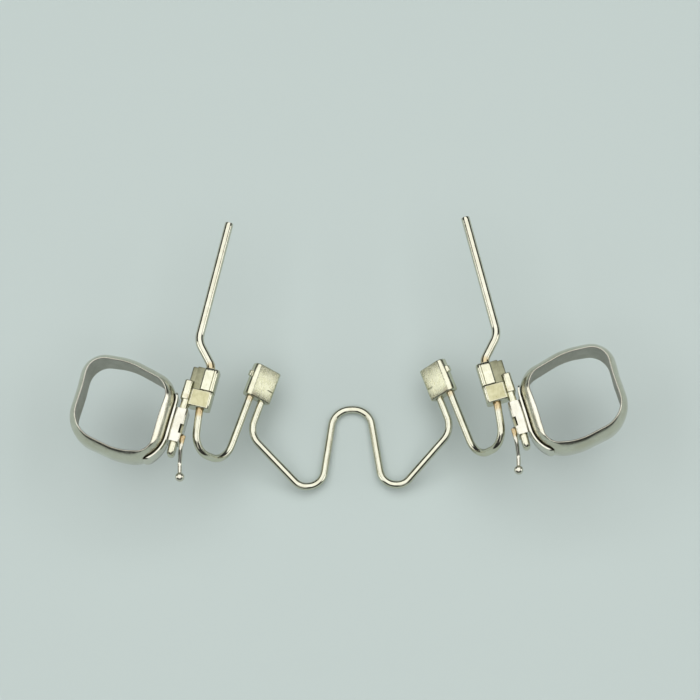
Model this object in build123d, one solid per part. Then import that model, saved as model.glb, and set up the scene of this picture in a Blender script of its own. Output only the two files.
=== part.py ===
from build123d import *
import os
from math import cos, radians, sin

# A spring palatal expander, millimetres. +X points to the right-hand band,
# +Y runs forward along the arms and +Z points out of the palate.
# Each side is drawn once, on the right, and mirrored across the midline.

# Overall fit
sheath_span = 35.0  # between the middles of the two sheaths
toe_angle = 15.0  # the front of each sheath leans in by this much

# Gaps
seat_gap = 0.02  # between pieces that are welded face to face
slide_gap = 0.03  # round the tongue in the sheath
wire_gap = 0.03  # round a wire in its connector

# Insert tongue and head
tongue_width = 0.75
tongue_height = 1.70
tongue_corner = 0.26
tongue_tail = 1.50  # reach behind the sheath
head_width = 0.88
head_height = 1.95
head_length = 2.10
head_standoff = 1.10  # from the sheath's front to the head
head_shift = 0.10  # outwards from the tongue
head_corner = 0.30
head_edge = 0.15

# Sheath
sheath_wall = 0.23
sheath_length = 3.60
sheath_corner = 0.34
notch_length = 1.00
notch_width = 0.36
notch_depth = 0.42
notch_setback = 0.35  # the notch lies behind the sheath's middle

# Weld pad
pad_thickness = 0.16
pad_gap = 0.05  # between the strip and the band's widest ring
pad_height = 2.30
pad_flat = 3.70  # length of its flat seat
pad_turn = 1.60  # how far the ends follow the band round, from its inner face
pad_front_reach = 3.40
pad_rear_reach = 4.45
pad_corner = 0.50

# Molar band
band_width = 10.49  # across the cheek and tongue faces, at its widest
band_length = 10.90  # along the row of teeth, at its widest
band_front = 5.80  # from the sheath's middle to the front face
band_wall = 0.18
band_top = 2.30
band_bottom = -2.70
band_waist = 0.50  # height of the widest ring
rim_inset = 0.68
inner_lean = 0.09  # how much more the rim turns in along the tongue face
root_inset = 0.40
rim_dip = 0.28
root_arch = 0.75
tongue_groove = 0.30  # at the rim
waist_groove = 0.06  # the same groove at the widest ring
cheek_groove = 0.16
front_skew_inner = 1.50  # how far each corner falls back from the front or rear face
front_skew_outer = 0.35
rear_skew_inner = 0.75
rear_skew_outer = 1.35
front_crown = 0.30  # where each face is fullest, outwards from the band's middle
rear_crown = -1.00
inner_groove_place = 0.30
outer_groove_place = 1.40
front_inner_bend = 2.70
front_outer_bend = 2.60
rear_inner_bend = 2.10
waist_rear_share = 0.80  # the same corner's bend at the widest ring, of the shorter side beside it
rear_outer_bend = 3.60
front_bend = 7.00
rear_bend = 6.50
inner_groove_bend = 3.20
outer_groove_bend = 6.00
band_points = 48  # points that one smooth ring of the band runs through
band_levels = 8  # rings from root edge to rim, less one

# Ball hook
hook_wire = 0.43
hook_ball = 0.96
hook_height = 0.45
hook_start = -0.85
hook_lead = 1.25
hook_reach = 4.95  # from the sheath's middle back to the ball
hook_spread = 0.58
hook_drop = 1.05
hook_bend = 1.60
hook_turn_reach = 3.56  # from the sheath's middle back to the second bend
hook_turn_spread = 0.19
hook_turn_bend = 0.80

# Wires
arm_wire = 0.90
spring_wire = 0.80

# Outer connector
outer_width = 2.30
outer_height = 1.90
outer_front = 6.75
outer_rear = 2.40
channel_set = 1.25  # from the outer face to the wire channel
ledge_width = 0.78
ledge_length = 2.45
ledge_depth = 0.50
shelf_reach = 0.50  # the ledge runs this far past the outer face, ahead of the head
fold_radius = 0.42
fold_edge = 0.14
seam_width = 0.07
seam_depth = 0.12
seam_set = 0.40  # from the inner face to the lengthwise seam

# Arm route: outwards, forwards and up from the sheath's middle
arm_grip = 1.90
arm_lead = 0.40
arm_elbow = (0.49, 9.55, -0.20)
arm_tip = (0.92, 23.10, -1.00)
arm_exit_bend = 1.30
arm_elbow_bend = 2.20

# Inner connector
link_middle = (9.30, 5.97, -4.75)  # from the midline and the line of the sheaths
link_yaw = 20.0
link_tilt = 38.0
link_width = 3.05
link_length = 3.55
link_thickness = 1.40
link_pitch = 1.50  # between its two channels
link_fold = 0.58
link_edge = 0.30
slit_width = 0.08
slit_length = 0.95
slit_depth = 0.22
slit_back = 0.45
lug_length = 0.62
lug_height = 0.46
lug_reach = 0.28
lug_corner = 0.12
lug_forward = 0.55
wire_setback = 0.45  # wire ends stop short of the front face

# Side loop route
loop_grip = 2.00
loop_lead = 0.05
loop_corner = (-2.09, -1.82, -0.75)  # outwards, forwards and up from the sheath's middle
loop_reach = 9.40  # from the inner connector's middle back to the inner corner
loop_exit_bend = 2.00
loop_bend = 2.25

# Centre spring route, from the midline and the line of the sheaths
knee_reach = 5.40  # from the inner connector's middle back to the knee
lobe_outer = (5.45, -4.55, -7.30)
lobe_inner = (3.15, -4.40, -7.70)
apex_side = (1.85, 3.95, -8.00)
knee_bend = 2.20
lobe_outer_bend = 1.60
lobe_inner_bend = 1.90
apex_bend = 2.00

# Worked out from the sizes above
lumen_width = tongue_width + 2 * slide_gap
lumen_height = tongue_height + 2 * slide_gap
sheath_width = lumen_width + 2 * sheath_wall
sheath_height = lumen_height + 2 * sheath_wall
sheath_front = sheath_length / 2
sheath_rear = -sheath_length / 2
head_rear = sheath_front + head_standoff
head_front = head_rear + head_length
pad_face = sheath_width / 2 + seat_gap
band_inner = pad_face + pad_thickness + pad_gap
band_outer = band_inner + band_width
band_middle = band_inner + band_width / 2
band_rear = band_front - band_length
inner_side = inner_groove_place - band_rear - rear_skew_inner
rear_side = band_width / 2 + rear_crown
waist_rear_bend = waist_rear_share * min(inner_side, rear_side)
outer_face = head_shift - head_width / 2 - seat_gap
channel_line = outer_face - channel_set
outer_middle = (outer_front + outer_rear) / 2

# Seat of one sheath: local X points outwards, local Y forwards along the sheath
toe = radians(toe_angle)
seat = Plane(
    origin=(sheath_span / 2, 0, 0),
    x_dir=(cos(toe), sin(toe), 0),
    z_dir=(0, 0, 1),
)

# Seat of one inner connector: local X across it, outwards and up, local Y forwards
yaw = radians(link_yaw)
tilt = radians(link_tilt)
link_seat = Plane(
    origin=link_middle,
    x_dir=(cos(yaw) * cos(tilt), sin(yaw) * cos(tilt), sin(tilt)),
    z_dir=(-cos(yaw) * sin(tilt), -sin(yaw) * sin(tilt), cos(tilt)),
)


def run_along(plane, profile, start, end):
    """Extrudes a profile, drawn in the plane's X and Z, from start to end along its Y."""
    across = Plane(
        origin=plane.from_local_coords(Vector(0, end, 0)),
        x_dir=plane.x_dir,
        z_dir=-plane.y_dir,
    )
    return extrude(across * profile, amount=end - start)


def block(plane, low, high):
    """A box between two corners given in the plane's own directions."""
    low = Vector(*low)
    high = Vector(*high)
    size = high - low
    middle = (low + high) * 0.5
    return plane * (Pos(middle.X, middle.Y, middle.Z) * Box(size.X, size.Y, size.Z))


def bent_wire(points, bends, diameter):
    """A round wire along straight runs joined by tangent arcs."""
    path = FilletPolyline(*points, radius=bends)
    section = Plane(origin=path @ 0, z_dir=path % 0) * Circle(diameter / 2)
    return sweep(section, path=path)


def band_outline(inset, turned_in=0):
    """The band's outline in the sheath's seat, drawn in by a distance and turned in towards its rim."""
    lean = inner_lean * turned_in
    groove = waist_groove + (tongue_groove - waist_groove) * turned_in
    rear_corner_bend = waist_rear_bend + (rear_inner_bend - waist_rear_bend) * turned_in
    corners = [
        (Vector(band_inner + lean, band_front - front_skew_inner), front_inner_bend),
        (Vector(band_inner + lean + groove, inner_groove_place), inner_groove_bend),
        (Vector(band_inner + lean + groove, band_rear + rear_skew_inner), rear_corner_bend),
        (Vector(band_middle + rear_crown, band_rear), rear_bend),
        (Vector(band_outer, band_rear + rear_skew_outer), rear_outer_bend),
        (Vector(band_outer - cheek_groove, outer_groove_place), outer_groove_bend),
        (Vector(band_outer, band_front - front_skew_outer), front_outer_bend),
        (Vector(band_middle + front_crown, band_front), front_bend),
    ]
    points = []
    radii = []
    for index, (here, radius) in enumerate(corners):
        before = corners[index - 1][0]
        after = corners[(index + 1) % len(corners)][0]
        arriving = (here - before).normalized()
        leaving = (after - here).normalized()
        inward = Vector(-arriving.Y - leaving.Y, arriving.X + leaving.X).normalized()
        spread = Vector(-arriving.Y, arriving.X).dot(inward)
        points.append(here + inward * (inset / spread))
        convex = arriving.cross(leaving).Z > 0
        radii.append(radius - inset if convex else radius + inset)
    return FilletPolyline(*points, radius=radii, close=True)


def band_ring(share, growth):
    """One smooth ring of the band, a share of the way up from its root edge to its rim."""
    waist = (band_waist - band_bottom) / (band_top - band_bottom)
    turned_in = 0
    if share > waist:
        turned_in = ((share - waist) / (1 - waist)) ** 2
        inset = rim_inset * turned_in
    else:
        inset = root_inset * ((waist - share) / waist) ** 2
    outline = band_outline(inset - growth, turned_in)
    points = []
    for step in range(band_points):
        point = outline.position_at(step / band_points)
        arch = 1 - ((point.X - band_middle) / (band_width / 2)) ** 2
        low = band_bottom + root_arch * arch
        high = band_top - rim_dip * arch
        points.append(Vector(point.X, point.Y, low + share * (high - low)))
    places = [step / band_points for step in range(band_points + 1)]
    return Wire([Edge.make_spline(points, periodic=True, parameters=places)])


def band_shell(outer_growth, inner_growth):
    """A closed wall between two skins, each grown outwards from the band's outside."""
    levels = [level / band_levels for level in range(band_levels + 1)]
    outside = [band_ring(level, outer_growth) for level in levels]
    inside = [band_ring(level, inner_growth) for level in levels]
    faces = Shell.make_loft(outside).faces() + Shell.make_loft(inside).faces()
    for edge in (0, -1):
        faces += Shell.make_loft([outside[edge], inside[edge]], ruled=True).faces()
    return seat * Part(Solid(Shell(faces)).wrapped)


def molar_band():
    return band_shell(0, -band_wall)


def sheath_pad():
    """A strip bent along the band's widest ring, with a flat seat for the sheath in its middle."""
    clear = band_outline(-pad_gap)
    follow = make_face(band_outline(-pad_gap - pad_thickness)) - make_face(clear)
    length = pad_front_reach + pad_rear_reach
    middle = (pad_front_reach - pad_rear_reach) / 2
    follow &= Pos(band_inner, middle) * Rectangle(2 * pad_turn, length)
    flat = Pos(pad_face + pad_turn / 2, 0) * Rectangle(pad_turn, pad_flat) - make_face(clear)
    strip = extrude(follow + flat, amount=pad_height / 2, both=True)
    facing = Plane(origin=(0, middle, 0), x_dir=(0, 1, 0), z_dir=(1, 0, 0))
    outline = RectangleRounded(length, pad_height, pad_corner)
    window = extrude(facing * outline, amount=band_width, both=True)
    return seat * (strip & window)


def lingual_sheath():
    outside = RectangleRounded(sheath_width, sheath_height, sheath_corner)
    inside = RectangleRounded(lumen_width, lumen_height, tongue_corner + slide_gap)
    tube = run_along(seat, outside - inside, sheath_rear, sheath_front)
    top = sheath_height / 2
    side = -sheath_width / 2
    notch_rear = -notch_setback - notch_length / 2
    notch_front = -notch_setback + notch_length / 2
    notch = block(
        seat,
        (side - notch_width, notch_rear, top - notch_depth),
        (side + notch_width, notch_front, top + notch_depth),
    )
    return tube - notch


def ball_hook():
    line = -sheath_width / 2 - seat_gap - hook_wire / 2
    points = [
        Vector(line, hook_start, hook_height),
        Vector(line, hook_start - hook_lead, hook_height),
        Vector(line - hook_turn_spread, -hook_turn_reach, hook_height - hook_drop),
        Vector(line - hook_spread, -hook_reach, hook_height - hook_drop),
    ]
    wire = bent_wire(points, [hook_bend, hook_turn_bend], hook_wire)
    ball = Pos(*points[-1]) * Sphere(hook_ball / 2)
    return seat * (wire + ball)


def sheath_insert():
    tongue_profile = RectangleRounded(tongue_width, tongue_height, tongue_corner)
    tongue = run_along(seat, tongue_profile, sheath_rear - tongue_tail, head_rear)
    head_profile = Pos(head_shift, 0) * RectangleRounded(head_width, head_height, head_corner)
    head = run_along(seat, head_profile, head_rear, head_front)
    head = fillet(head.faces().sort_by(seat.location.y_axis)[-1].edges(), head_edge)
    return tongue + head


def outer_connector():
    inner_face = outer_face - outer_width
    top = outer_height / 2
    seam = outer_front - ledge_length
    middle = Pos(outer_face - outer_width / 2, 0)
    profile = middle * RectangleRounded(outer_width, outer_height, fold_radius)
    body = run_along(seat, profile, outer_rear, outer_front)
    body = fillet(body.faces().filter_by(Plane(seat.origin, z_dir=seat.y_dir)).edges(), fold_edge)
    arm_bore = Pos(channel_line, 0) * Circle(arm_wire / 2 + wire_gap)
    body -= run_along(seat, arm_bore, outer_middle, outer_front)
    loop_bore = Pos(channel_line, 0) * Circle(spring_wire / 2 + wire_gap)
    body -= run_along(seat, loop_bore, outer_rear, outer_middle)
    body -= block(
        seat,
        (outer_face - ledge_width, seam, top - ledge_depth),
        (outer_face + ledge_width, outer_front + fold_edge, top + ledge_depth),
    )
    shelf_width = ledge_width + shelf_reach
    shelf_height = outer_height - ledge_depth
    shelf_middle = Pos(outer_face + shelf_reach - shelf_width / 2, -ledge_depth / 2)
    shelf_profile = shelf_middle * RectangleRounded(shelf_width, shelf_height, fold_edge)
    body += run_along(seat, shelf_profile, head_front + seat_gap, outer_front - fold_edge)
    body -= block(
        seat,
        (inner_face, seam - seam_width, top - seam_depth),
        (outer_face, seam, top + seam_depth),
    )
    body -= block(
        seat,
        (inner_face + seam_set, seam, top - seam_depth),
        (inner_face + seam_set + seam_width, outer_front, top + seam_depth),
    )
    return body


def extension_arm():
    points = [
        seat.from_local_coords(Vector(channel_line, outer_front - arm_grip, 0)),
        seat.from_local_coords(Vector(channel_line, outer_front + arm_lead, 0)),
        seat.from_local_coords(Vector(*arm_elbow)),
        seat.from_local_coords(Vector(*arm_tip)),
    ]
    return bent_wire(points, [arm_exit_bend, arm_elbow_bend], arm_wire)


def side_loop():
    line = link_pitch / 2
    points = [
        seat.from_local_coords(Vector(channel_line, outer_rear + loop_grip, 0)),
        seat.from_local_coords(Vector(channel_line, outer_rear - loop_lead, 0)),
        seat.from_local_coords(Vector(*loop_corner)),
        link_seat.from_local_coords(Vector(line, -loop_reach, 0)),
        link_seat.from_local_coords(Vector(line, link_length / 2 - wire_setback, 0)),
    ]
    return bent_wire(points, [loop_exit_bend, loop_bend, loop_bend], spring_wire)


def inner_connector():
    half = link_width / 2
    top = link_thickness / 2
    profile = make_face(
        FilletPolyline(
            (half, -top),
            (half, top),
            (-half, top),
            (-half, -top),
            radius=[link_fold, link_fold, link_edge, link_edge],
            close=True,
        )
    )
    body = run_along(link_seat, profile, -link_length / 2, link_length / 2)
    ends = body.faces().filter_by(Plane(link_seat.origin, z_dir=link_seat.y_dir))
    body = fillet(ends.edges(), fold_edge)
    lug = block(
        link_seat,
        (0, lug_forward - lug_length / 2, -lug_height / 2),
        (half + lug_reach, lug_forward + lug_length / 2, lug_height / 2),
    )
    tip = lug.faces().sort_by(link_seat.location.x_axis)[-1]
    body += fillet(tip.edges(), lug_corner)
    for line in (link_pitch / 2, -link_pitch / 2):
        bore = Pos(line, 0) * Circle(spring_wire / 2 + wire_gap)
        body -= run_along(link_seat, bore, -link_length / 2, link_length / 2)
    body -= block(
        link_seat,
        (-half, -slit_back - slit_width, top - slit_depth),
        (-half + slit_length, -slit_back, top + slit_depth),
    )
    return body


def center_spring():
    line = -link_pitch / 2
    right = [
        link_seat.from_local_coords(Vector(line, link_length / 2 - wire_setback, 0)),
        link_seat.from_local_coords(Vector(line, -knee_reach, 0)),
        Vector(*lobe_outer),
        Vector(*lobe_inner),
        Vector(*apex_side),
    ]
    left = [Vector(-point.X, point.Y, point.Z) for point in reversed(right)]
    bends = [knee_bend, lobe_outer_bend, lobe_inner_bend, apex_bend]
    return bent_wire(right + left, bends + bends[::-1], spring_wire)


def whole_part():
    """Every piece by name, with the origin under the middle of the part's box."""
    makers = (
        molar_band,
        sheath_pad,
        lingual_sheath,
        ball_hook,
        sheath_insert,
        outer_connector,
        extension_arm,
        side_loop,
        inner_connector,
    )
    pieces = {}
    for make in makers:
        right = make()
        pieces[make.__name__ + "_right"] = right
        pieces[make.__name__ + "_left"] = mirror(right, about=Plane.YZ)
    pieces["center_spring"] = center_spring()
    box = Compound([solid for piece in pieces.values() for solid in piece.solids()]).bounding_box()
    shift = Pos(0, -box.center().Y, -box.min.Z)
    return {name: shift * piece for name, piece in pieces.items()}


os.makedirs("parts", exist_ok=True)
for name, piece in whole_part().items():
    export_step(piece, os.path.join("parts", name + ".step"))
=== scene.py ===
import math
import bmesh
import bpy
from mathutils import Matrix, Quaternion, Vector, noise


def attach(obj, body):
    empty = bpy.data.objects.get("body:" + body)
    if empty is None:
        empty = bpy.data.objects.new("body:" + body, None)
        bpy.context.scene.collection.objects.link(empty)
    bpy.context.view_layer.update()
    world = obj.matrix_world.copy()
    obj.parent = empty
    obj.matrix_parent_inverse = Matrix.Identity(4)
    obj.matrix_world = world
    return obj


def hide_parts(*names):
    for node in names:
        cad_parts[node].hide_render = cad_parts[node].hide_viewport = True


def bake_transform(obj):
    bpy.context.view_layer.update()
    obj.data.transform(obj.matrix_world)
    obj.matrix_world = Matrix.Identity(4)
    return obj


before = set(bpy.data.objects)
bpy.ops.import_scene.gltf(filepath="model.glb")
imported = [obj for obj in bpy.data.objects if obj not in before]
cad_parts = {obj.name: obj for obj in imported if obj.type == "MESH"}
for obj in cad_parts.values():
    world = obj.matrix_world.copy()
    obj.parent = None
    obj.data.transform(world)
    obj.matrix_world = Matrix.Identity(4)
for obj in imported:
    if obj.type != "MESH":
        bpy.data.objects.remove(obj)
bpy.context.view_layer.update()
mm = 0.001
near = 1e-4  # closer than this, in millimetres, counts as touching
across, forward, upward = 0, 1, 2
sides = {"left": -1, "right": 1}
print("frame loaded:", len(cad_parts), "nodes")


def turned(degrees, axis):
    return Matrix.Rotation(math.radians(degrees), 4, axis)


def onSide(points, side):
    return [Vector((sides[side] * p[0], p[1], p[2])) for p in points]


# the sheath's own directions: outwards, forwards, up
seat = {"middle": (17.5, -8.51, 8.4), "toe": 15}
seatPlace = Matrix.Translation(seat["middle"]) @ turned(seat["toe"], "Z")
# the inner connector's: across, forwards, square to its face
link = {"middle": (9.3, -2.54, 3.65), "yaw": 20, "tilt": 38}
linkPlace = Matrix.Translation(link["middle"]) @ turned(link["yaw"], "Z") @ turned(-link["tilt"], "Y")


# shader maths: a wrapped socket, with the operators that the finishes use
class Signal:
    def __init__(self, tree, socket=None):
        self.tree = tree
        self.socket = socket

    def add(self, kind, settings=None, inputs=None, out=0):
        node = self.tree.nodes.new(kind)
        for key, value in (settings or {}).items():
            if key == "stops":
                fillRamp(node.color_ramp, value)
            else:
                setattr(node, key, value)
        for key, value in (inputs or {}).items():
            if isinstance(value, Signal):
                self.tree.links.new(value.socket, node.inputs[key])
            else:
                node.inputs[key].default_value = value
        return Signal(self.tree, node.outputs[out])

    def beside(self, out):
        return Signal(self.tree, self.socket.node.outputs[out])

    def maths(self, operation, first, second):
        return self.add("ShaderNodeMath", {"operation": operation}, {0: first, 1: second})

    def __add__(self, other):
        return self.maths("ADD", self, other)

    def __sub__(self, other):
        return self.maths("SUBTRACT", self, other)

    def __rsub__(self, other):
        return self.maths("SUBTRACT", other, self)

    def __mul__(self, other):
        return self.maths("MULTIPLY", self, other)

    __radd__ = __add__
    __rmul__ = __mul__

    def stretch(self, by):
        return self.add("ShaderNodeVectorMath", {"operation": "MULTIPLY"}, {0: self, 1: by})

    def noise(self, scale, detail, rough, warp=0.0):
        values = {"Vector": self, "Scale": scale, "Detail": detail, "Roughness": rough, "Distortion": warp}
        return self.add("ShaderNodeTexNoise", {}, values)

    def ramp(self, stops):
        return self.add("ShaderNodeValToRGB", {"stops": stops}, {"Fac": self})

    def step(self, low, high):
        values = {"Value": self, "From Min": low, "From Max": high}
        return self.add("ShaderNodeMapRange", {"interpolation_type": "SMOOTHSTEP"}, values)

    def mix(self, first, second):
        return self.add("ShaderNodeMix", {"data_type": "RGBA"}, {0: self, 6: first, 7: second}, 2)


def fillRamp(ramp, stops):
    while len(ramp.elements) < len(stops):
        ramp.elements.new(1.0)
    for element, (position, colour) in zip(ramp.elements, stops):
        element.position = position
        element.color = colour


# where welding has coloured the metal, on the right half: place, reach, strength
wireHeat = [
    ((15.24, -6.35, 8.4), 1.7, 0.6), ((14.15, -2.15, 8.4), 1.1, 0.42), ((16.95, -9.9, 8.85), 1.0, 0.5),
    ((10.5, -4.2, 4.1), 0.9, 0.4), ((9.2, -4.3, 3.2), 0.7, 0.25),
]
seamHeat = [
    ((15.2, -5.9, 8.3), 0.9, 0.3), ((16.6, -5.4, 9.3), 0.6, 0.2),
    ((16.1, -3.7, 9.3), 0.6, 0.2), ((10.2, -3.9, 4.4), 0.8, 0.3),
]
bandHeat = [((18.6, -5.6, 8.2), 1.3, 0.35), ((19.9, -12.2, 8.2), 1.3, 0.4)]
heatStops = [
    (0.0, (0.56, 0.53, 0.43, 1)), (0.35, (0.55, 0.46, 0.28, 1)),
    (0.7, (0.36, 0.24, 0.11, 1)), (1.0, (0.15, 0.11, 0.08, 1)),
]
heatCore = 0.15  # share of its reach over which a spot keeps its full strength


def heatOver(point, spots):
    # both halves share the spots, so the distance is taken on the right half
    split = point.add("ShaderNodeSeparateXYZ", {}, {0: point})
    right = split.add("ShaderNodeMath", {"operation": "ABSOLUTE"}, {0: split})
    folded = point.add("ShaderNodeCombineXYZ", {}, {0: right, 1: split.beside(1), 2: split.beside(2)})
    total = None
    for place, reach, strength in spots:
        away = folded.add("ShaderNodeVectorMath", {"operation": "DISTANCE"}, {0: folded, 1: place}, "Value")
        glow = (1 - away.step(heatCore * reach, reach)) * strength
        total = glow if total is None else total.maths("MAXIMUM", total, glow)
    return total


# one steel for all finishes: lengths in millimetres, stretches across, across and along the grain
plainLook = {
    "base": (0.6, 0.58, 0.5), "shade": (0.52, 0.49, 0.4), "cloudShare": 0.7, "toneRange": (0.3, 0.7),
    "rough": 0.17, "roughSpread": 0.1, "grainRough": 0.08, "scratchRough": 0.084, "heatRough": 0.15,
    "cloudScale": 0.9, "cloudNoise": (4.0, 0.55, 0.4), "cloudHeight": 0.5,
    "fineScale": 14.0, "fineNoise": (3.0, 0.6), "fineHeight": 0.2,
    "grainScale": 1.0, "grainNoise": (4.0, 0.6), "grainHeight": 0.35,
    "grainStretch": (6.0, 0.5, 6.0), "grainTurn": (0, 0, 0), "grainLayer": None,
    "scratchScale": 1.6, "scratchNoise": (2.0, 0.5), "scratchDepth": 0.28,
    "scratchStretch": (9.0, 0.35, 9.0), "scratchRange": (0.62, 0.7),
    "bump": 0.25, "bumpDepth": 0.02, "heat": wireHeat, "heatCloud": (0.65, 0.7), "heatRange": (0.05, 0.35),
}


def steelFinish(name, changes):
    look = {**plainLook, **changes}
    material = bpy.data.materials.new(name)
    material.use_nodes = True
    tree = material.node_tree
    shader = tree.nodes["Principled BSDF"]
    shader.inputs["Metallic"].default_value = 1.0
    start = Signal(tree)
    place = start.add("ShaderNodeTexCoord", {}, {}, "Object")
    point = place.add("ShaderNodeVectorMath", {"operation": "SCALE"}, {0: place, "Scale": 1 / mm})
    if look["grainLayer"]:
        along = start.add("ShaderNodeAttribute", {"attribute_name": look["grainLayer"]}, {}, "Vector")
    else:
        along = point.add("ShaderNodeMapping", {}, {"Vector": point, "Rotation": look["grainTurn"]})
    grain = along.stretch(look["grainStretch"]).noise(look["grainScale"], *look["grainNoise"])
    cloud = point.noise(look["cloudScale"], *look["cloudNoise"])
    fine = point.noise(look["fineScale"], *look["fineNoise"])
    scratch = along.stretch(look["scratchStretch"]).noise(look["scratchScale"], *look["scratchNoise"])
    scratch = scratch.step(*look["scratchRange"])
    tone = (cloud * look["cloudShare"] + grain * (1 - look["cloudShare"])).step(*look["toneRange"])
    colour = tone.mix((*look["shade"], 1), (*look["base"], 1))
    heatLow, heatGain = look["heatCloud"]
    heat = heatOver(point, look["heat"]) * (heatLow + heatGain * cloud)
    colour = heat.step(*look["heatRange"]).mix(colour, heat.ramp(heatStops))
    rough = look["rough"] + look["roughSpread"] * (cloud - 0.5) + look["grainRough"] * (grain - 0.5)
    rough = rough + look["scratchRough"] * scratch + look["heatRough"] * heat
    height = grain * look["grainHeight"] + fine * look["fineHeight"] + cloud * look["cloudHeight"]
    height = height - scratch * look["scratchDepth"]
    relief = {"Strength": look["bump"], "Distance": look["bumpDepth"] * mm, "Height": height}
    bump = height.add("ShaderNodeBump", {}, relief)
    tree.links.new(colour.socket, shader.inputs["Base Color"])
    tree.links.new(rough.socket, shader.inputs["Roughness"])
    tree.links.new(bump.socket, shader.inputs["Normal"])
    return material


finishes = {
    "bandOutside": steelFinish("band_outside_steel", {
        "base": (0.64, 0.635, 0.54), "shade": (0.54, 0.525, 0.42), "rough": 0.19, "heat": bandHeat,
        "grainStretch": (0.5, 0.5, 9.0), "scratchStretch": (0.5, 0.5, 14.0),
        "cloudScale": 0.55, "cloudHeight": 1.0, "bump": 0.35,
    }),
    "bandInside": steelFinish("band_inside_etched_steel", {
        "base": (0.5, 0.49, 0.44), "shade": (0.41, 0.4, 0.35), "rough": 0.44, "heat": bandHeat,
        "grainStretch": (2.0, 2.0, 2.0), "fineScale": 9.0, "fineHeight": 1.4,
        "scratchRough": 0.036, "scratchDepth": 0.12, "bump": 0.8,
    }),
    "sheath": steelFinish("sheath_steel", {
        "base": (0.7, 0.695, 0.605), "shade": (0.6, 0.585, 0.485), "rough": 0.16,
        "grainTurn": (0, 0, -0.26), "fineHeight": 0.4,
    }),
    "connector": steelFinish("connector_steel", {
        "base": (0.69, 0.685, 0.545), "shade": (0.58, 0.57, 0.425), "rough": 0.17, "roughSpread": 0.14,
        "cloudScale": 1.3, "fineHeight": 0.5, "cloudHeight": 0.8, "heat": seamHeat,
    }),
    # unpolished steel in a dark olive tone, partly its own and partly painted shade; it goes on the recessed
    # ledge and shelf, the sheath's notch walls and the insert's dimple
    "ledge": steelFinish("dull_steel_and_painted_shade", {
        "base": (0.34, 0.34, 0.23), "shade": (0.24, 0.24, 0.15), "rough": 0.34, "roughSpread": 0.16,
        "cloudScale": 1.6, "fineHeight": 0.9, "cloudHeight": 1.0, "bump": 0.5, "heat": seamHeat,
    }),
    "tabFace": steelFinish("tab_tumbled_steel", {
        "base": (0.55, 0.53, 0.34), "shade": (0.4, 0.38, 0.22), "rough": 0.3, "roughSpread": 0.16,
        "cloudScale": 1.4, "fineHeight": 0.8, "cloudHeight": 1.0, "bump": 0.45, "heat": seamHeat,
    }),
    "linkFace": steelFinish("link_tumbled_steel", {
        "base": (0.66, 0.66, 0.49), "shade": (0.48, 0.48, 0.33), "rough": 0.27, "roughSpread": 0.2,
        "cloudScale": 1.5, "fineHeight": 0.9, "cloudHeight": 1.1, "bump": 0.5, "heat": seamHeat,
    }),
    "arm": steelFinish("arm_drawn_wire", {
        "base": (0.66, 0.655, 0.545), "shade": (0.57, 0.555, 0.435), "rough": 0.1, "grainRough": 0.05,
        "grainLayer": "grain", "grainStretch": (5.0, 5.0, 0.22), "scratchStretch": (7.0, 7.0, 0.4),
        "bump": 0.14,
    }),
    "spring": steelFinish("spring_drawn_wire", {
        "base": (0.65, 0.65, 0.535), "shade": (0.56, 0.55, 0.425), "rough": 0.09, "grainRough": 0.05,
        "grainLayer": "grain", "grainStretch": (5.0, 5.0, 0.2), "scratchStretch": (7.0, 7.0, 0.35),
        "bump": 0.14,
    }),
}
print("finishes:", len(finishes))


def ringOf(out):
    verts = [g for g in out if isinstance(g, bmesh.types.BMVert)]
    edges = [g for g in out if isinstance(g, bmesh.types.BMEdge)]
    return verts, edges


def bevelEdges(bm, edges, width, segments=3):
    bmesh.ops.bevel(bm, geom=edges, offset=width, offset_type="OFFSET", segments=segments, profile=0.5,
                    affect="EDGES", material=-1, clamp_overlap=True)


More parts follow.
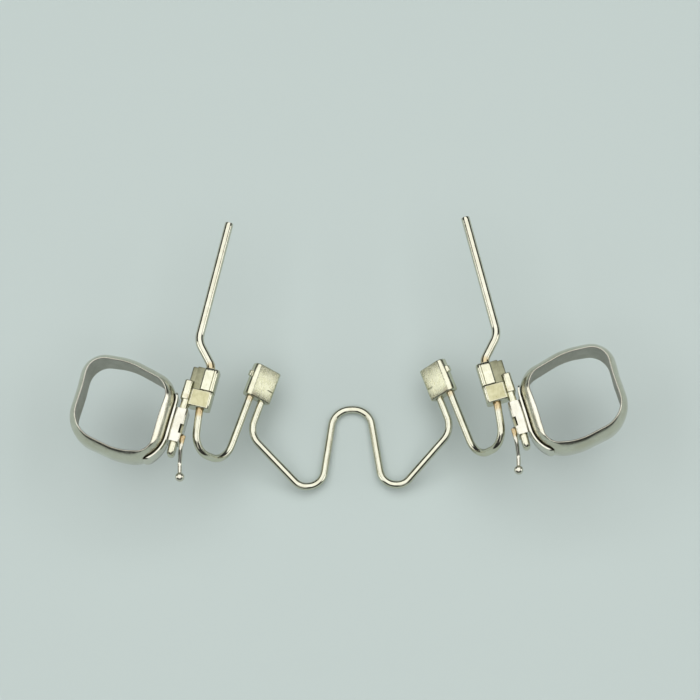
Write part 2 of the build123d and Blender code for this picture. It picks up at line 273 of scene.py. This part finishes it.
class WireMesh:
    # a round wire drawn out of one ring: straight runs are extruded and bends are spun
    def __init__(self, start, direction, radius, wire):
        self.bm = bmesh.new()
        self.grain = self.bm.verts.layers.float_vector.new("grain")
        self.radius = radius
        self.step = wire["step"] * mm
        self.bendStep = wire["bendStep"]
        self.along = 0.0
        self.here = start
        facing = direction.to_track_quat("Z", "Y").to_matrix().to_4x4()
        bmesh.ops.create_circle(self.bm, cap_ends=False, radius=radius, segments=wire["around"],
                                matrix=Matrix.Translation(start) @ facing)
        self.edges = self.bm.edges[:]
        for vert in self.bm.verts:
            off = facing.inverted() @ (vert.co - start)
            vert[self.grain] = (off.x / mm, off.y / mm, 0.0)

    def extrude(self):
        verts, self.edges = ringOf(bmesh.ops.extrude_edge_only(self.bm, edges=self.edges)["geom"])
        return verts

    def mark(self, verts, advance):
        self.along += advance
        for vert in verts:
            vert[self.grain].z = self.along / mm

    def run(self, to):
        way = to - self.here
        count = max(1, round(way.length / self.step))
        for index in range(count):
            verts = self.extrude()
            bmesh.ops.translate(self.bm, verts=verts, vec=way / count)
            self.mark(verts, way.length / count)
        self.here = to

    def turn(self, middle, axis, angle, bend, end):
        count = max(round(angle * bend / self.step), round(angle / self.bendStep), 1)
        for index in range(count):
            out = bmesh.ops.spin(self.bm, geom=self.edges, cent=middle, axis=axis, angle=angle / count,
                                 steps=1, use_merge=False)
            verts, self.edges = ringOf(out["geom_last"])
            self.mark(verts, angle * bend / count)
        self.here = end

    def swell(self, middle, direction, ballRadius, count):
        # the ring grows over a ball and closes behind it
        first = math.asin(self.radius / ballRadius)
        width = self.radius
        for index in range(1, count):
            angle = first + (math.pi - first) * index / count
            spot = middle - direction * ballRadius * math.cos(angle)
            verts = self.extrude()
            bmesh.ops.translate(self.bm, verts=verts, vec=spot - self.here)
            grow = ballRadius * math.sin(angle) / width
            bmesh.ops.scale(self.bm, verts=verts, vec=(grow, grow, grow), space=Matrix.Translation(-spot))
            width *= grow
            self.here = spot
            self.mark(verts, ballRadius * (math.pi - first) / count)

    def close(self, chamfer):
        bmesh.ops.holes_fill(self.bm, edges=[e for e in self.bm.edges if e.is_boundary], sides=0)
        caps = [f for f in self.bm.faces if len(f.verts) > 4]
        bevelEdges(self.bm, list({e for f in caps for e in f.edges}), chamfer)
        bmesh.ops.recalc_face_normals(self.bm, faces=self.bm.faces)
        return self.bm


def bentWire(points, wire):
    points = [Vector(p) * mm for p in points]
    bends = [b * mm for b in wire["bends"]]
    radius = wire["width"] * mm / 2
    mesh = WireMesh(points[0], (points[1] - points[0]).normalized(), radius, wire)
    for before, corner, after, bend in zip(points, points[1:], points[2:], bends):
        arriving = (corner - before).normalized()
        leaving = (after - corner).normalized()
        angle = arriving.angle(leaving)
        reach = bend * math.tan(angle / 2)
        middle = corner + (leaving - arriving).normalized() * bend / math.cos(angle / 2)
        mesh.run(corner - arriving * reach)
        mesh.turn(middle, arriving.cross(leaving).normalized(), angle, bend, corner + leaving * reach)
    last = (points[-1] - points[-2]).normalized()
    if "ball" in wire:
        ballRadius = wire["ball"] * mm / 2
        mesh.run(points[-1] - last * math.sqrt(ballRadius ** 2 - radius ** 2))
        mesh.swell(points[-1], last, ballRadius, wire["ballRings"])
    else:
        mesh.run(points[-1])
    return mesh.close(wire["chamfer"] * mm)


def makePiece(name, bm, used, sharpAbove=40):
    for face in bm.faces:
        face.smooth = True
    for edge in bm.edges:
        edge.smooth = edge.calc_face_angle(0.0) < math.radians(sharpAbove)
    mesh = bpy.data.meshes.new(name)
    bm.to_mesh(mesh)
    bm.free()
    for finish in used:
        mesh.materials.append(finishes[finish])
    piece = bpy.data.objects.new(name, mesh)
    bpy.context.scene.collection.objects.link(piece)
    return piece


# wires: routes on the right half, millimetres
armWire = {
    "route": [(14.69, -4.242, 8.4), (14.094, -2.02, 8.4), (15.502, 0.841, 8.2), (12.41, 14.041, 7.4)],
    "bends": [1.3, 2.2], "width": 0.9, "around": 24, "step": 0.4, "bendStep": 0.12, "chamfer": 0.06,
}
for side in sides:
    piece = makePiece("arm_" + side, bentWire(onSide(armWire["route"], side), armWire), ["arm"])
    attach(piece, side + "_side")
    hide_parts("extension_arm_" + side)

loopWire = {
    "route": [(14.806, -4.677, 8.4), (15.337, -6.657, 8.4), (15.952, -10.809, 7.65),
              (13.07, -11.171, 4.112), (9.402, -1.093, 4.112)],
    "bends": [2.0, 2.25, 2.25], "width": 0.8, "around": 24, "step": 0.3, "bendStep": 0.12, "chamfer": 0.05,
    "bendsFrom": 15.0, "bendsTo": 10.9,  # how far out the loop starts and stops giving
}
for side, sign in sides.items():
    bm = bentWire(onSide(loopWire["route"], side), loopWire)
    piece = makePiece("side_loop_wire_" + side, bm, ["spring"])
    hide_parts("side_loop_" + side)
    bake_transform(piece)

centreWire = {
    "half": [(8.291, -1.497, 3.188), (10.592, -7.817, 3.188), (5.45, -13.06, 1.1),
             (3.15, -12.91, 0.7), (1.85, -4.56, 0.4)],
    "halfBends": [2.2, 1.6, 1.9, 2.0], "width": 0.8,
    "around": 24, "step": 0.3, "bendStep": 0.12, "chamfer": 0.05,
    "still": 8.8,  # further out than this the spring follows its connector
}
centreWire["bends"] = centreWire["halfBends"] + centreWire["halfBends"][::-1]
centreRoute = onSide(centreWire["half"], "left") + onSide(centreWire["half"][::-1], "right")
piece = makePiece("centre_spring_wire", bentWire(centreRoute, centreWire), ["spring"])
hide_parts("center_spring")
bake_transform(piece)

hookWire = {
    "route": [(16.88, -9.556, 8.85), (17.203, -10.764, 8.85), (17.398, -12.223, 7.8), (17.381, -13.667, 7.8)],
    "bends": [1.6, 0.8], "width": 0.43, "around": 20, "step": 0.16, "bendStep": 0.12, "chamfer": 0.05,
    "ball": 0.96, "ballRings": 14,
    "weld": (-0.75, -1.2, 0.46), "weldSize": (0.2, 0.5, 0.25),  # from the sheath's middle
    "weldSides": 20, "weldRings": 12,
}
for side in sides:
    bm = bentWire(onSide(hookWire["route"], side), hookWire)
    weld = seatPlace @ Matrix.Translation(hookWire["weld"]) @ Matrix.Diagonal((*hookWire["weldSize"], 1))
    weld = Matrix.Scale(mm, 4) @ Matrix.Diagonal((sides[side], 1, 1, 1)) @ weld
    bead = bmesh.ops.create_uvsphere(bm, u_segments=hookWire["weldSides"], v_segments=hookWire["weldRings"],
                                     radius=1.0, matrix=weld)["verts"]
    bmesh.ops.recalc_face_normals(bm, faces=list({f for v in bead for f in v.link_faces}))
    piece = makePiece("hook_" + side, bm, ["sheath"])
    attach(piece, side + "_band")
    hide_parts("ball_hook_" + side)
print("wires drawn")


# blocks are shaped in their own directions, in millimetres, and placed at the end
blocks = {
    "alongShare": 0.9, "flatAbove": 0.985, "boreSides": 28, "sharpAbove": 50,
    "roundStep": 0.06, "fewestSteps": 2, "mostSteps": 7,
}


def startBlock(bm, low, high):
    before = set(bm.verts)
    low, high = Vector(low), Vector(high)
    made = bmesh.ops.create_cube(bm, size=1.0)["verts"]
    bmesh.ops.scale(bm, vec=high - low, verts=made)
    bmesh.ops.translate(bm, vec=(low + high) / 2, verts=made)
    return {"bm": bm, "before": before, "middle": (low + high) / 2}


def blockVerts(block):
    return [v for v in block["bm"].verts if v not in block["before"]]


def blockEdges(block):
    return list({e for v in blockVerts(block) for e in v.link_edges})


def blockFaces(block):
    return list({f for v in blockVerts(block) for f in v.link_faces})


def longEdges(block, along, sidesTaken):
    found = []
    for edge in blockEdges(block):
        first, second = (v.co for v in edge.verts)
        way = second - first
        off = (first + second) / 2 - block["middle"]
        onSides = all(s == 0 or off[i] * s > near for i, s in enumerate(sidesTaken))
        if onSides and abs(way[along]) > blocks["alongShare"] * way.length:
            found.append(edge)
    return found


def rimEdges(block, axis, level):
    return [e for e in blockEdges(block) if all(abs(v.co[axis] - level) < near for v in e.verts)]


def roundOff(block, edges, radius):
    steps = min(blocks["mostSteps"], round(radius / blocks["roundStep"]))
    bevelEdges(block["bm"], edges, radius, max(blocks["fewestSteps"], steps))


def cutAcross(block, axis, level):
    normal = Vector((0, 0, 0))
    normal[axis] = 1
    taken = blockVerts(block) + blockEdges(block) + blockFaces(block)
    bmesh.ops.bisect_plane(block["bm"], geom=taken, dist=near, plane_co=normal * level, plane_no=normal)


def faceAt(block, axis, level, centre):
    found = [f for f in blockFaces(block) if all(abs(v.co[axis] - level) < near for v in f.verts)]
    return min(found, key=lambda f: (f.calc_center_median() - Vector(centre)).length)


def boreHole(block, level, channel, radius, depth, countersink):
    # a blind round hole along the block, with a broken edge
    bm = block["bm"]
    centre = Vector((channel, level, 0))
    face = faceAt(block, forward, level, centre)
    rim = face.edges[:]
    way = face.normal.copy()
    bmesh.ops.delete(bm, geom=[face], context="FACES_ONLY")
    facing = Matrix.Translation(centre) @ way.to_track_quat("Z", "Y").to_matrix().to_4x4()
    mouth = radius + countersink
    ring = bmesh.ops.create_circle(bm, cap_ends=False, radius=mouth, segments=blocks["boreSides"],
                                   matrix=facing)
    edges = list({e for v in ring["verts"] for e in v.link_edges})
    bmesh.ops.bridge_loops(bm, edges=rim + edges)
    for drop, narrow in ((countersink, radius / mouth), (depth, 1.0)):
        verts, edges = ringOf(bmesh.ops.extrude_edge_only(bm, edges=edges)["geom"])
        centre = centre - way * drop
        bmesh.ops.translate(bm, verts=verts, vec=-way * drop)
        bmesh.ops.scale(bm, verts=verts, vec=(narrow, narrow, narrow), space=Matrix.Translation(-centre))
    bmesh.ops.contextual_create(bm, geom=edges)


def pressGroove(block, axis, level, width, depth, keep, way):
    # a narrow V pressed in along one line
    for offset in (-width / 2, 0, width / 2):
        cutAcross(block, axis, level + offset)
    line = [v for v in blockVerts(block) if abs(v.co[axis] - level) < near and keep(v.co)]
    bmesh.ops.translate(block["bm"], verts=line, vec=Vector(way) * depth)


def finishAll(block, index):
    for face in blockFaces(block):
        face.material_index = index


def finishFlat(block, index):
    # the flat top has a finish of its own, and the rounded edges stay polished
    block["bm"].normal_update()
    for face in blockFaces(block):
        if face.normal.z > blocks["flatAbove"]:
            face.material_index = index


def placed(bm, place, side):
    mirror = Matrix.Diagonal((sides[side], 1, 1, 1))
    bmesh.ops.remove_doubles(bm, verts=bm.verts, dist=near)
    bmesh.ops.transform(bm, matrix=Matrix.Scale(mm, 4) @ mirror @ place, verts=bm.verts)
    bmesh.ops.recalc_face_normals(bm, faces=bm.faces)
    return bm


outer = {
    "inner": -2.66, "outer": -0.36, "rear": 2.4, "front": 6.75, "top": 0.95,
    "fold": 0.42, "edge": 0.12, "lip": 0.2,
    "tabEnd": 4.24, "tabSlope": 0.14, "barStart": 4.3, "barEdge": -1.14, "facet": 0.5, "facetDrop": 0.1,
    "seam": -2.225, "seamWidth": 0.12, "seamDepth": 0.12,
    "channel": -1.61, "armBore": 0.48, "loopBore": 0.43, "boreDepth": 0.9, "countersink": 0.05,
    "ledge": ((-1.34, 4.28), 0.45), "ledgeEdge": 0.06, "ledgeSink": 0.02,
    "shelf": ((-0.66, 5.03), (0.14, 6.6, 0.44)), "shelfEdge": 0.08, "shelfSink": 0.04,
    "core": ((-2.36, 3.7, -0.65), (-0.56, 5.55, 0.25)), "coreEdge": 0.05,
}


def outerBlock(o):
    bm = bmesh.new()
    top = o["top"]
    # rear tab, sloping down to its back edge
    tab = startBlock(bm, (o["inner"], o["rear"], -top), (o["outer"], o["tabEnd"], top))
    backTop = [v for v in blockVerts(tab) if v.co.y < tab["middle"].y and v.co.z > 0]
    bmesh.ops.translate(bm, verts=backTop, vec=(0, 0, -o["tabSlope"]))
    roundOff(tab, longEdges(tab, forward, (-1, 0, 0)), o["fold"])
    roundOff(tab, longEdges(tab, forward, (1, 0, 0)), o["lip"])
    roundOff(tab, rimEdges(tab, forward, o["rear"]), o["edge"])
    roundOff(tab, rimEdges(tab, forward, o["tabEnd"]), o["edge"])
    boreHole(tab, o["rear"], o["channel"], o["loopBore"], o["boreDepth"], o["countersink"])
    finishFlat(tab, 2)
    # rolled bar round the arm
    bar = startBlock(bm, (o["inner"], o["barStart"], -top), (o["barEdge"], o["front"], top))
    cutAcross(bar, forward, o["front"] - o["facet"])
    frontTop = [v for v in blockVerts(bar) if v.co.y > o["front"] - near and v.co.z > 0]
    bmesh.ops.translate(bm, verts=frontTop, vec=(0, 0, -o["facetDrop"]))
    roundOff(bar, longEdges(bar, forward, (-1, 0, 0)), o["fold"])
    roundOff(bar, longEdges(bar, forward, (1, 0, 1)), o["lip"])
    roundOff(bar, rimEdges(bar, forward, o["front"]), o["edge"])
    boreHole(bar, o["front"], o["channel"], o["armBore"], o["boreDepth"], o["countersink"])
    pressGroove(bar, across, o["seam"], o["seamWidth"], o["seamDepth"],
                lambda c: c.z > top - o["fold"], (0, 0, -1))
    # recessed ledge and the shelf ahead of the insert's head, in the dark dull finish: partly unpolished
    # steel, partly painted shade in the recess
    (ledgeInner, ledgeRear), ledgeTop = o["ledge"]
    ledgeFront = o["front"] - o["ledgeSink"]
    ledgeFloor = o["ledgeSink"] - top
    ledge = startBlock(bm, (ledgeInner, ledgeRear, ledgeFloor), (o["outer"], ledgeFront, ledgeTop))
    roundOff(ledge, longEdges(ledge, forward, (1, 0, -1)), o["fold"])
    roundOff(ledge, longEdges(ledge, forward, (1, 0, 1)), o["ledgeEdge"])
    roundOff(ledge, rimEdges(ledge, forward, ledgeFront), o["edge"])
    finishAll(ledge, 1)
    shelfLow, shelfHigh = o["shelf"]
    shelf = startBlock(bm, (*shelfLow, o["shelfSink"] - top), shelfHigh)
    roundOff(shelf, longEdges(shelf, forward, (1, 0, 0)), o["edge"])
    roundOff(shelf, rimEdges(shelf, forward, shelfHigh[1]), o["shelfEdge"])
    finishAll(shelf, 1)
    # what the seam between tab and bar lets through
    core = startBlock(bm, *o["core"])
    roundOff(core, blockEdges(core), o["coreEdge"])
    return bm


inner = {
    "half": 1.525, "reach": 1.775, "top": 0.7, "fold": 0.58, "edge": 0.3, "rim": 0.14,
    "channels": (-0.75, 0.75), "bore": 0.43, "boreDepth": 0.8, "countersink": 0.05,
    "slit": -0.49, "slitWidth": 0.1, "slitDepth": 0.2, "slitReach": -0.58, "slitWay": (0.6, 0, -1),
    "seamWidth": 0.12, "seamDepth": 0.12,
    "lug": ((1.225, 0.24, -0.23), (1.8, 0.86, 0.23)), "lugEdge": 0.12,
}


def innerBlock(o):
    bm = bmesh.new()
    ends = (-o["reach"], o["reach"])
    body = startBlock(bm, (-o["half"], -o["reach"], -o["top"]), (o["half"], o["reach"], o["top"]))
    roundOff(body, longEdges(body, forward, (1, 0, 0)), o["fold"])
    roundOff(body, longEdges(body, forward, (-1, 0, 0)), o["edge"])
    for end in ends:
        roundOff(body, rimEdges(body, forward, end), o["rim"])
    cutAcross(body, across, 0)
    for end in ends:
        for channel in o["channels"]:
            boreHole(body, end, channel, o["bore"], o["boreDepth"], o["countersink"])
    # slit on the inner edge, and the fold's seam underneath
    cutAcross(body, across, o["slitReach"])
    pressGroove(body, forward, o["slit"], o["slitWidth"], o["slitDepth"],
                lambda c: c.x < o["slitReach"] - near and c.z > o["edge"], o["slitWay"])
    pressGroove(body, across, 0, o["seamWidth"], o["seamDepth"], lambda c: c.z < near - o["top"], (0, 0, 1))
    finishFlat(body, 1)
    lug = startBlock(bm, *o["lug"])
    roundOff(lug, rimEdges(lug, across, o["lug"][1][0]), o["lugEdge"])
    return bm


sheath = {
    "half": 0.635, "top": 1.11, "reach": 1.8, "corner": 0.26, "wall": 0.23, "rim": 0.05,
    "notchRear": -0.85, "notchFront": 0.15, "notchSide": -0.275, "notchFloor": 0.69,
}


def sheathTube(o):
    bm = bmesh.new()
    ends = (-o["reach"], o["reach"])
    tube = startBlock(bm, (-o["half"], -o["reach"], -o["top"]), (o["half"], o["reach"], o["top"]))
    roundOff(tube, longEdges(tube, forward, (0, 0, 0)), o["corner"])
    loops = []
    for end in ends:
        face = faceAt(tube, forward, end, (0, end, 0))
        bmesh.ops.inset_individual(bm, faces=[face], thickness=o["wall"], depth=0.0, use_even_offset=True)
        loops += face.edges[:]
        bmesh.ops.delete(bm, geom=[face], context="FACES_ONLY")
    bmesh.ops.bridge_loops(bm, edges=loops)
    for end in ends:
        roundOff(tube, rimEdges(tube, forward, end), o["rim"])
    # notch through the upper inner edge
    cutAcross(tube, forward, o["notchRear"])
    cutAcross(tube, forward, o["notchFront"])
    cutAcross(tube, across, o["notchSide"])
    cutAcross(tube, upward, o["notchFloor"])
    middles = {f: f.calc_center_median() for f in bm.faces}
    notched = [f for f, c in middles.items() if o["notchRear"] < c.y < o["notchFront"]
               and c.x < o["notchSide"] and c.z > o["notchFloor"]]
    bmesh.ops.delete(bm, geom=notched, context="FACES")
    cut = bmesh.ops.bridge_loops(bm, edges=[e for e in bm.edges if e.is_boundary])
    # the notch's cut faces take the dark dull finish as painted shade in the hollow
    for face in cut["faces"]:
        face.material_index = 1
    return bm


insert = {
    "half": 0.375, "top": 0.85, "rear": -3.3, "front": 3.1, "fold": 0.62, "corner": 0.34, "cornerSteps": 5,
    "strandWidth": 0.3, "strandDepth": 0.1,
    "dimpleRear": -0.82, "dimpleFront": 0.12, "dimpleSlope": 0.05, "dimpleFloor": 0.4,
    "dimplePress": (0.3, 0, -0.6),
    "head": ((-0.34, 2.9, -0.975), (0.54, 5.0, 0.975)),
    "headCorner": 0.3, "headFrontEdge": 0.16, "headRearEdge": 0.06,
}


def insertBar(o):
    bm = bmesh.new()
    # a doubled wire: the fold is at the back and a groove runs between its strands
    tongue = startBlock(bm, (-o["half"], o["rear"], -o["top"]), (o["half"], o["front"], o["top"]))
    roundOff(tongue, longEdges(tongue, across, (0, -1, 0)), o["fold"])
    outline = []
    for edge in blockEdges(tongue):
        first, second = (v.co for v in edge.verts)
        if abs(first.x - second.x) < near and min(first.y, second.y) < o["front"] - near:
            outline.append(edge)
    bevelEdges(bm, outline, o["corner"], o["cornerSteps"])
    for sign in sides.values():
        pressGroove(tongue, upward, 0, o["strandWidth"], o["strandDepth"],
                    lambda c: abs(c.x - sign * o["half"]) < near, (-sign, 0, 0))
    # locking dimple in the upper inner edge
    rear, front = o["dimpleRear"], o["dimpleFront"]
    for level in (rear - o["dimpleSlope"], rear, front, front + o["dimpleSlope"]):
        cutAcross(tongue, forward, level)
    pressed = [v for v in blockVerts(tongue) if rear - near < v.co.y < front + near
               and v.co.x < 0 and v.co.z > o["dimpleFloor"]]
    bmesh.ops.translate(bm, verts=pressed, vec=o["dimplePress"])
    # the pressed faces take the dark dull finish as painted shade in the dimple
    for face in {f for v in pressed for f in v.link_faces}:
        face.material_index = 1
    headLow, headHigh = o["head"]
    head = startBlock(bm, headLow, headHigh)
    roundOff(head, longEdges(head, forward, (0, 0, 0)), o["headCorner"])
    roundOff(head, rimEdges(head, forward, headHigh[1]), o["headFrontEdge"])
    roundOff(head, rimEdges(head, forward, headLow[1]), o["headRearEdge"])
    return bm


pad = {"edge": 0.04, "edgeSteps": 2, "sharpFrom": 40, "flatWithin": 0.5, "merge": 1e-7}


def weldPad(node, o):
    # the strip's own faces with their sharp edges worn round
    bm = bmesh.new()
    bm.from_mesh(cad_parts[node].data)
    bmesh.ops.remove_doubles(bm, verts=bm.verts, dist=o["merge"])
    bmesh.ops.dissolve_limit(bm, angle_limit=math.radians(o["flatWithin"]), verts=bm.verts, edges=bm.edges)
    sharpFrom = math.radians(o["sharpFrom"])
    sharp = [e for e in bm.edges if e.is_manifold and e.calc_face_angle(0.0) > sharpFrom]
    bevelEdges(bm, sharp, o["edge"] * mm, o["edgeSteps"])
    return bm


for side in sides:
    for name, bm, used, slot, body, node in (
        ("outer_connector_block_", placed(outerBlock(outer), seatPlace, side),
         ["connector", "ledge", "tabFace"], "connector_steel", "_side", "outer_connector_"),
        ("inner_connector_block_", placed(innerBlock(inner), linkPlace, side),
         ["connector", "linkFace"], "connector_steel", "_link", "inner_connector_"),
        ("sheath_tube_", placed(sheathTube(sheath), seatPlace, side),
         ["sheath", "ledge"], "sheath_steel", "_band", "lingual_sheath_"),
        ("insert_bar_", placed(insertBar(insert), seatPlace, side),
         ["connector", "ledge"], "connector_steel", "_side", "sheath_insert_"),
        ("weld_pad_", weldPad("sheath_pad_" + side, pad), ["sheath"], "sheath_steel", "_band", "sheath_pad_"),
    ):
        piece = makePiece(name + side, bm, used, blocks["sharpAbove"])
        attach(piece, side + body)
        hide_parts(node + side)
print("blocks shaped")

# molar band: each corner of its widest outline, outwards and forwards from the sheath's middle,
# with its bend, then how much further out it lies at the rim, and its bend there
band = {
    "corners": [
        (0.865, 4.3, 2.7, 0.09, 2.7), (0.925, 0.3, 3.2, 0.33, 3.2),
        (0.925, -4.35, 3.4, 0.33, 2.1), (5.11, -5.1, 6.5, 0, 6.5),
        (11.355, -3.75, 3.6, 0, 3.6), (11.195, 1.4, 6.0, 0, 6.0),
        (11.355, 5.45, 2.6, 0, 2.6), (6.41, 5.8, 7.0, 0, 7.0),
    ],
    "cornerSteps": 10, "cutEvery": 0.3, "levels": 20, "middle": (6.11, 0.35), "half": 5.245, "wall": 0.18,
    "top": 2.3, "bottom": -2.7, "waist": 0.5, "rimInset": 0.68, "rootInset": 0.4,
    "rimDip": 0.28, "rootArch": 0.75,
    "rimRound": 0.05, "rimAngle": 57, "insideBelow": -0.5, "wave": 0.012, "waveSize": 1.6, "waveSink": 0.6,
}


def bandOutline(o, inset, turnedIn, cuts=None):
    bm = bmesh.new()
    corners = [Vector((n + lean * turnedIn, a, 0)) for n, a, bend, lean, rimBend in o["corners"]]
    spots = []
    for index, here in enumerate(corners):
        arriving = (here - corners[index - 1]).normalized()
        leaving = (corners[(index + 1) % len(corners)] - here).normalized()
        inward = Vector((-arriving.y - leaving.y, arriving.x + leaving.x, 0)).normalized()
        spread = Vector((-arriving.y, arriving.x, 0)).dot(inward)
        n, a, bend, lean, rimBend = o["corners"][index]
        bend += (rimBend - bend) * turnedIn
        bend += -inset if arriving.cross(leaving).z > 0 else inset
        spots.append((here + inward * inset / spread, bend * math.tan(arriving.angle(leaving) / 2)))
    bm.faces.new([bm.verts.new(spot) for spot, reach in spots])
    for spot, reach in spots:
        corner = min(bm.verts, key=lambda v: (v.co - spot).length)
        bmesh.ops.bevel(bm, geom=[corner], offset=reach, offset_type="OFFSET", segments=o["cornerSteps"],
                        profile=0.5, affect="VERTICES", material=-1)
    # every outline is cut alike, so their points match
    edges = bm.edges[:]
    cuts = cuts or [int(e.calc_length() / o["cutEvery"]) for e in edges]
    for edge, count in zip(edges, cuts):
        if count:
            bmesh.ops.subdivide_edges(bm, edges=[edge], cuts=count)
    return bm, cuts


def outlinePoints(o, inset, turnedIn, cuts):
    bm = bandOutline(o, inset, turnedIn, cuts)[0]
    points = [v.co.copy() for v in bm.verts]
    bm.free()
    return points


def bandWall(o):
    bm, cuts = bandOutline(o, 0, 0)
    widest = [v.co.copy() for v in bm.verts]
    rim = outlinePoints(o, o["rimInset"], 1, cuts)
    root = outlinePoints(o, o["rootInset"], 0, cuts)
    spot = bm.verts.layers.int.new("spot")
    for index, vert in enumerate(bm.verts):
        vert[spot] = index
    ring, edges = bm.verts[:], bm.edges[:]
    bmesh.ops.delete(bm, geom=bm.faces[:], context="FACES_ONLY")
    waist = (o["waist"] - o["bottom"]) / (o["top"] - o["bottom"])
    for level in range(o["levels"] + 1):
        share = level / o["levels"]
        if level:
            ring, edges = ringOf(bmesh.ops.extrude_edge_only(bm, edges=edges)["geom"])
        above = share > waist
        pull = ((share - waist) / (1 - waist)) ** 2 if above else ((waist - share) / waist) ** 2
        for vert in ring:
            place = widest[vert[spot]].lerp((rim if above else root)[vert[spot]], pull)
            arch = 1 - ((place.x - o["middle"][0]) / o["half"]) ** 2
            low = o["bottom"] + o["rootArch"] * arch
            high = o["top"] - o["rimDip"] * arch
            vert.co = (place.x, place.y, low + share * (high - low))
    return bm


for side, sign in sides.items():
    bm = placed(bandWall(band), seatPlace, side)
    axis = (seatPlace @ Vector((*band["middle"], 0))) * mm
    axis.x *= sign
    if sum(f.normal.dot(f.calc_center_median() - axis) for f in bm.faces) < 0:
        bmesh.ops.reverse_faces(bm, faces=bm.faces)
    # hand-burnished hollows, a few hundredths deep
    bm.normal_update()
    for vert in bm.verts:
        depth = noise.noise(vert.co / (band["waveSize"] * mm)) - band["waveSink"]
        vert.co += vert.normal * band["wave"] * mm * depth
    bmesh.ops.solidify(bm, geom=bm.faces[:], thickness=band["wall"] * mm)
    rims = [e for e in bm.edges if e.calc_face_angle(0.0) > math.radians(band["rimAngle"])]
    bevelEdges(bm, rims, band["rimRound"] * mm)
    for face in bm.faces:
        out = face.calc_center_median() - axis
        out.z = 0
        if face.normal.dot(out.normalized()) < band["insideBelow"]:
            face.material_index = 1
    piece = makePiece("band_wall_" + side, bm, ["bandOutside", "bandInside"])
    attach(piece, side + "_band")
    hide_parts("molar_band_" + side)
print("bands shaped")


# floor, light and camera
stage = {"floor": (0.56, 0.64, 0.615), "floorReach": 0.5, "floorRough": 0.8, "floorGloss": 0.2,
         "sky": (0.86, 0.9, 0.92), "skyLevel": 0.05}
bm = bmesh.new()
bmesh.ops.create_grid(bm, x_segments=1, y_segments=1, size=stage["floorReach"])
mesh = bpy.data.meshes.new("floor")
bm.to_mesh(mesh)
bm.free()
floor = bpy.data.objects.new("floor", mesh)
bpy.context.scene.collection.objects.link(floor)
floorPaint = bpy.data.materials.new("floor_paint")
floorPaint.use_nodes = True
paint = floorPaint.node_tree.nodes["Principled BSDF"]
paint.inputs["Base Color"].default_value = (*stage["floor"], 1)
paint.inputs["Roughness"].default_value = stage["floorRough"]
paint.inputs["Specular IOR Level"].default_value = stage["floorGloss"]
mesh.materials.append(floorPaint)

world = bpy.data.worlds.new("studio")
bpy.context.scene.world = world
world.use_nodes = True
backdrop = world.node_tree.nodes["Background"]
backdrop.inputs["Color"].default_value = (*stage["sky"], 1)
backdrop.inputs["Strength"].default_value = stage["skyLevel"]

softBoxes = [
    {"name": "overhead", "place": (0.0, 0.06, 0.5), "aim": (0, 0.06, 0), "size": 0.95, "level": 1.5},
    {"name": "left_panel", "place": (-0.6, -0.03, 0.24), "aim": (0, 0, 0.005), "size": 0.36, "level": 1.9},
    {"name": "right_panel", "place": (0.6, -0.03, 0.24), "aim": (0, 0, 0.005), "size": 0.36, "level": 1.9},
    {"name": "rear_panel", "place": (0.0, -0.48, 0.36), "aim": (0, 0, 0.005), "size": 0.3, "level": 0.6},
]
for lamp in softBoxes:
    light = bpy.data.lights.new(lamp["name"], "AREA")
    light.shape = "SQUARE"
    light.size = lamp["size"]
    light.energy = lamp["level"] * math.pi * lamp["size"] ** 2
    box = bpy.data.objects.new(lamp["name"], light)
    box.location = lamp["place"]
    box.rotation_mode = "QUATERNION"
    box.rotation_quaternion = (Vector(lamp["aim"]) - Vector(lamp["place"])).to_track_quat("-Z", "Y")
    bpy.context.scene.collection.objects.link(box)

# degrees and millimetres, and the lens's reach in metres
view = {
    "target": (0.249, -0.560, 8.4), "azimuth": -1.35, "elevation": 72.0, "sideways": 3.0, "away": 360.0,
    "lens": 179.0, "sensor": 36.0, "clip": (0.01, 10.0),
}
level = Vector((0, -1, 0))
back = turned(view["azimuth"], "Z").to_3x3() @ turned(-view["elevation"], "X").to_3x3() @ level
facing = (-back).to_track_quat("-Z", "Y")
sidestep = Quaternion(facing @ Vector((0, 1, 0)), math.radians(view["sideways"]))
back = sidestep @ back
lens = bpy.data.cameras.new("camera")
lens.sensor_width = view["sensor"]
lens.lens = view["lens"]
lens.clip_start, lens.clip_end = view["clip"]
camera = bpy.data.objects.new("camera", lens)
camera.location = (Vector(view["target"]) + back * view["away"]) * mm
camera.rotation_mode = "QUATERNION"
camera.rotation_quaternion = sidestep @ facing
bpy.context.scene.collection.objects.link(camera)
bpy.context.scene.camera = camera
bpy.context.scene.view_settings.view_transform = "Standard"
print("stage set")
